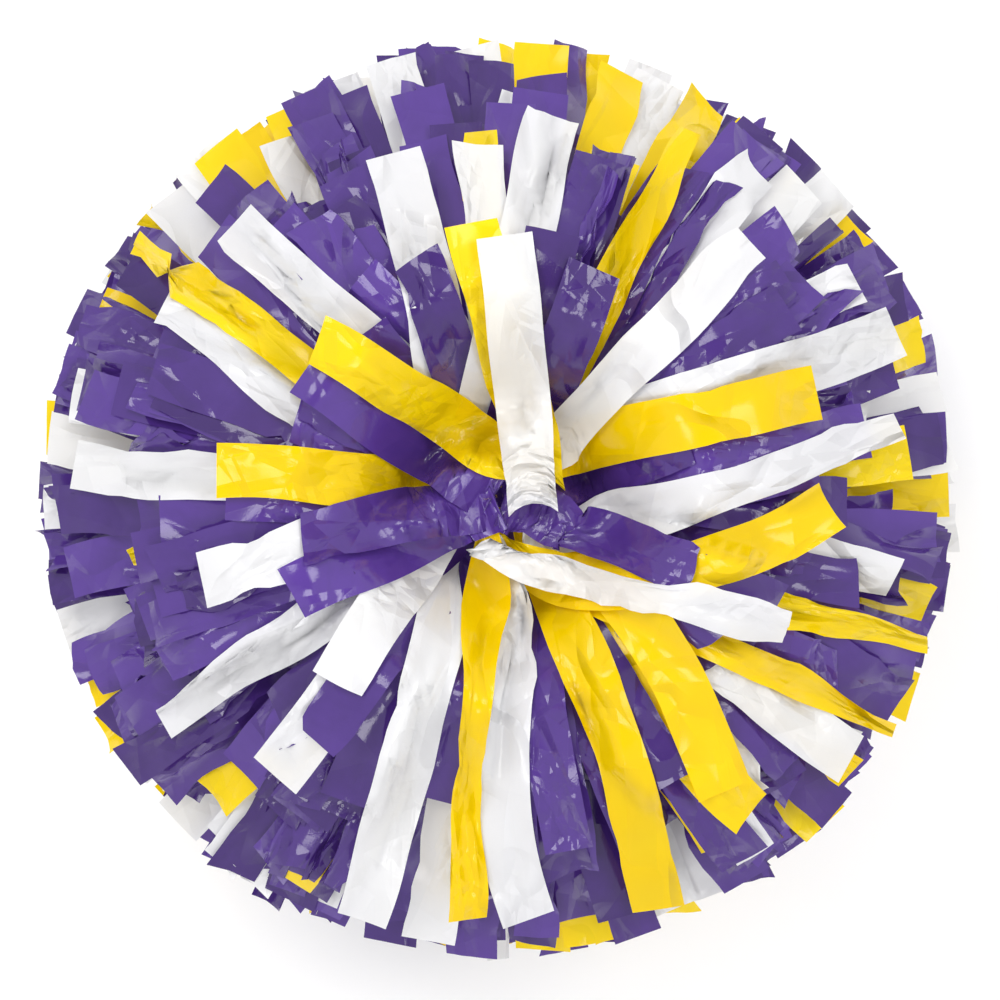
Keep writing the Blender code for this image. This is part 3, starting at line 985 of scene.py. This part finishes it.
def publish(batch, verts, side):
    """One piece for each tier and colour of a batch."""
    tiers = sorted({row["tier"] for row in batch.rows})
    for tier in tiers:
        for colour, colour_name in enumerate(COLOUR_NAMES):
            mask = np.array(
                [r["tier"] == tier and r["colour"] == colour for r in batch.rows]
            )
            nodes = [
                n for n in ALL_NODES if n.startswith(f"{side}_{tier}_{colour_name}_")
            ]
            if not mask.any():
                raise RuntimeError(f"no streamers for {side} {tier} {colour_name}")
            build_piece(
                f"{side}_{tier}_{colour_name}_streamers",
                verts[mask],
                colour,
                f"{side}_tuft",
                nodes,
            )


def keys_of(batch, verts):
    """Places in the pile, from the mean height of the outer two thirds."""
    middle = ACROSS // 2
    heights = verts[:, ALONG // 3 :, middle, 2].mean(axis=1)
    return batch.piles(heights)


RING = 0.006               # step of the radii at which the pile's top is read
LAST_RING = 0.176
LEAST_PILE = 0.010


def shape_dome(verts, start, profile, share):
    """Scale the heights above start so that the pile's top follows a profile.

    The scale depends on the distance from the axis only, so what lies over
    what stays as it is. profile holds pairs of radius in mm and height in m;
    share is the percentile of the heights that counts as the top.
    """
    radius = np.hypot(verts[..., 0], verts[..., 1])
    z = verts[..., 2]
    bins = np.arange(0.0, LAST_RING, RING)
    tops = np.full(len(bins), start + LEAST_PILE)
    for k, centre in enumerate(bins):
        inside = np.abs(radius - centre) < RING
        if inside.any():
            tops[k] = max(np.percentile(z[inside], share), start + LEAST_PILE)
    tops = blur(tops, 2)
    at = np.array([p[0] for p in profile]) * MM
    wanted = np.array([p[1] for p in profile])
    scale = (np.interp(radius, at, wanted) - start) / (np.interp(radius, bins, tops) - start)
    z[...] = np.where(z > start, start + (z - start) * scale, z)


EDGE_GAP = 0.0006          # between the band's free edge and the fan
SKIRT_GAP = 0.0008         # between its other edge and the skirt
PARTING_GAP = 0.001        # between a tuft and the plane that parts them
PARTING_GIVE = 0.0015
FLOOR_GAP, FLOOR_GIVE = 0.0008, 0.0012
LOOSE_LIFT = 3.0           # of a streamer whose root lies on the pile, mm
DOME_START = 0.004         # above the fan's edge; the pile is not scaled below it


def make_tuft(fan, skirt, fan_edge, skirt_edge, ground, profile, share, way):
    """Grow and lay both parts of a tuft; way is -1 for the one that hangs.

    A hanging tuft is laid upside down, with its heights negated, and is
    returned so. ground is the lowest height, in the same sense.
    """
    fan_verts = grow(fan, float(way), fan_edge)
    skirt_verts = grow(skirt, -float(way), skirt_edge)
    both = np.concatenate([fan_verts, skirt_verts])
    both[..., 2] *= way
    both[..., 2] = soft_floor(both[..., 2], ground, PARTING_GIVE)
    split = len(fan.rows)
    # the whole skirt leaves the band below the fan, so it is laid first
    skirt_keys = [key - 1.0 for key in keys_of(skirt, both[split:])]
    keys = keys_of(fan, both[:split]) + skirt_keys
    clear = np.concatenate([fan.column("clear"), skirt.column("clear")]) * MM
    in_core = np.concatenate([fan.column("root"), skirt.column("root")]) < CORE
    in_core = in_core | (clear > 0.0)
    loose = np.concatenate([fan.column("loose"), skirt.column("loose")])
    both = drape(both, np.array(keys), clear, in_core, loose, ground)
    shape_dome(both, way * fan_edge + DOME_START, profile, share)
    both[..., 2] += loose[:, None, None] * LOOSE_LIFT * MM
    return both[:split], both[split:]


UPPER_PROFILE = (
    (0, 0.286), (15, 0.291), (40, 0.318), (70, 0.334), (95, 0.326), (120, 0.304),
    (140, 0.277), (155, 0.252), (170, 0.225),
)
fan_verts, skirt_verts = make_tuft(
    upper,
    upper_skirt,
    fan_edge=BAND_TOP + EDGE_GAP,
    skirt_edge=BAND_FOOT + SKIRT_GAP,
    ground=PARTING + PARTING_GAP,
    profile=UPPER_PROFILE,
    share=100.0,
    way=1,
)
publish(upper, fan_verts, "upper")
publish(upper_skirt, skirt_verts, "upper")

# the lower tuft comes back upside down; the floor flattens it
LOWER_PROFILE = (
    (0, -0.030), (15, -0.026), (40, -0.008), (60, 0.002), (100, 0.002), (120, -0.006),
    (140, -0.026), (155, -0.046), (170, -0.070),
)
fan_verts, skirt_verts = make_tuft(
    lower_fan,
    lower_skirt,
    fan_edge=lower_band_low[2] - EDGE_GAP,
    skirt_edge=lower_band_high[2] - SKIRT_GAP,
    ground=-(PARTING - PARTING_GAP),
    profile=LOWER_PROFILE,
    share=97.0,
    way=-1,
)
for verts in (fan_verts, skirt_verts):
    verts[..., 2] = soft_floor(-verts[..., 2], FLOOR_GAP, FLOOR_GIVE)
publish(lower_fan, fan_verts, "lower")
publish(lower_skirt, skirt_verts, "lower")

# ----------------------------------------------------- the film on its spool

TURNS = 16
TURN_STEPS = 30
BAND_INNER = 0.0074        # radius of the first turn, just clear of the spool
BAND_ROWS = 5
BAND_INSET = 0.0002        # of the last turn, inside the CAD band
EDGE_INSET = 0.0003        # of the film's edges, inside its ends
CRINKLE, EDGE_WAVE = 0.00006, 0.00012
BAND_TONE = 0.45


def wound_film(side, low, high):
    """The un-slit edge of the film, wound on the spool as one long sheet."""
    count = TURNS * TURN_STEPS + 1
    angle = np.linspace(0.0, 2.0 * math.pi * TURNS, count)
    outer = high[0] - BAND_INSET
    radius = np.linspace(BAND_INNER, outer, count)
    rows = BAND_ROWS
    level = np.linspace(low[2] + EDGE_INSET, high[2] - EDGE_INSET, rows)
    crinkle = soft_noise((rows, count), 3) * CRINKLE
    x = (radius + crinkle) * np.cos(angle)
    y = (radius + crinkle) * np.sin(angle)
    z = level[:, None] + soft_noise((rows, count), 8) * EDGE_WAVE
    points = np.stack([x, y, z], axis=-1).reshape(-1, 3)
    faces = [
        (r * count + c, r * count + c + 1, (r + 1) * count + c + 1, (r + 1) * count + c)
        for r in range(rows - 1)
        for c in range(count - 1)
    ]
    mesh = bpy.data.meshes.new(f"{side}_wound_film")
    mesh.from_pydata(points.tolist(), [], faces)
    length = math.pi * TURNS * (BAND_INNER + outer)
    along = np.tile(np.linspace(0.0, length, count), rows)
    up = np.repeat(level - low[2], count)
    strip = np.stack([along, up], axis=-1)
    unit = strip / strip.max(axis=0)
    tone = np.full(len(points), BAND_TONE)
    obj = finish_sheet(mesh, np.array(faces), unit, strip, tone, PURPLE)
    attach(obj, f"{side}_tuft")
    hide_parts(f"{side}_rolled_film_band")


wound_film("upper", band_low, band_high)
wound_film("lower", lower_band_low, lower_band_high)

# ------------------------------------------------- handle and neck materials

GRIP = moulded("moulded_grip", (0.040, 0.040, 0.044), 0.42, 2600.0)
PLUG = moulded("moulded_plug", (0.62, 0.63, 0.65), 0.38, 1900.0)
NYLON = moulded("tie_nylon", (0.70, 0.70, 0.68), 0.45, 2200.0)
RUBBER = moulded("ring_rubber", (0.016, 0.016, 0.016), 0.60, 3000.0)
STEEL = moulded("pin_steel", (0.56, 0.57, 0.59), 0.30, 5200.0, 1.0)
WASHER = moulded("moulded_washer", (0.050, 0.050, 0.055), 0.50, 2400.0)

for node_name, material in (
    ("grip_half", GRIP),
    ("end_plug", PLUG),
    ("cable_tie", NYLON),
    ("o_ring", RUBBER),
    ("cross_pin", STEEL),
    ("guard_washer", WASHER),
):
    for full_name in ALL_NODES:
        if node_name in full_name:
            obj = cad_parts[full_name]
            for slot in obj.material_slots:
                slot.material = material

# ------------------------------------------------------- floor, light, camera


FLOOR_HALF = 3.0
FLOOR_DROP = 0.0002        # keeps the floor from touching what stands on it


def add_floor():
    mesh = bpy.data.meshes.new("floor")
    around = ((-1, -1), (1, -1), (1, 1), (-1, 1))
    corners = [(x * FLOOR_HALF, y * FLOOR_HALF, 0.0) for x, y in around]
    mesh.from_pydata(corners, [], [(0, 1, 2, 3)])
    sh = Shader("pale_floor")
    coords = sh.node("ShaderNodeTexCoord").outputs["Object"]
    cloud = sh.noise(coords, 6.0, 3.0, 0.5)
    sh.link(
        sh.mix(sh.ramp(cloud, 0.3, 0.7, 0.0, 1.0), (0.94, 0.94, 0.94), (0.97, 0.97, 0.97)),
        sh.bsdf.inputs["Base Color"],
    )
    sh.bsdf.inputs["Roughness"].default_value = 0.8
    mesh.materials.append(sh.mat)
    obj = bpy.data.objects.new("floor", mesh)
    bpy.context.scene.collection.objects.link(obj)
    obj.location.z = -FLOOR_DROP


def add_light(name, place, size, watts, target=(0.0, 0.0, 0.15)):
    data = bpy.data.lights.new(name, "AREA")
    data.shape = "SQUARE"
    data.size = size
    data.energy = watts
    obj = bpy.data.objects.new(name, data)
    bpy.context.scene.collection.objects.link(obj)
    obj.location = place
    aim = Vector(target) - Vector(place)
    obj.rotation_euler = aim.to_track_quat("-Z", "Y").to_euler()


add_floor()
add_light("key", (-0.8, 0.9, 2.1), 1.1, 25.0)
add_light("fill", (1.2, 0.35, 2.0), 0.85, 14.0)
add_light("back", (-0.3, -1.3, 1.8), 0.7, 10.0)


def add_world():
    """White all round and dimmer straight overhead, as in a lined studio."""
    world = bpy.data.worlds.new("studio")
    world.use_nodes = True
    tree = world.node_tree
    background = tree.nodes["Background"]
    direction = tree.nodes.new("ShaderNodeTexCoord").outputs["Generated"]
    parts = tree.nodes.new("ShaderNodeSeparateXYZ")
    tree.links.new(direction, parts.inputs[0])
    level = tree.nodes.new("ShaderNodeMapRange")
    tree.links.new(parts.outputs["Z"], level.inputs["Value"])
    level.interpolation_type = "SMOOTHSTEP"
    level.inputs["From Min"].default_value = 0.80
    level.inputs["From Max"].default_value = 0.97
    level.inputs["To Min"].default_value = 1.02
    level.inputs["To Max"].default_value = 0.35
    tree.links.new(level.outputs["Result"], background.inputs["Strength"])
    background.inputs["Color"].default_value = (1, 1, 1, 1)
    bpy.context.scene.world = world


add_world()
bpy.context.scene.view_settings.view_transform = "Standard"

camera_data = bpy.data.cameras.new("camera")
camera = bpy.data.objects.new("camera", camera_data)
bpy.context.scene.collection.objects.link(camera)
camera.location = (0.0, 0.0, CAMERA_HEIGHT)  # unturned, it looks straight down
camera_data.sensor_width = SENSOR_WIDTH
camera_data.lens = SENSOR_WIDTH * (CAMERA_HEIGHT - RIM_HEIGHT) / FRAME_WIDTH
camera_data.clip_end = 50.0
bpy.context.scene.camera = camera
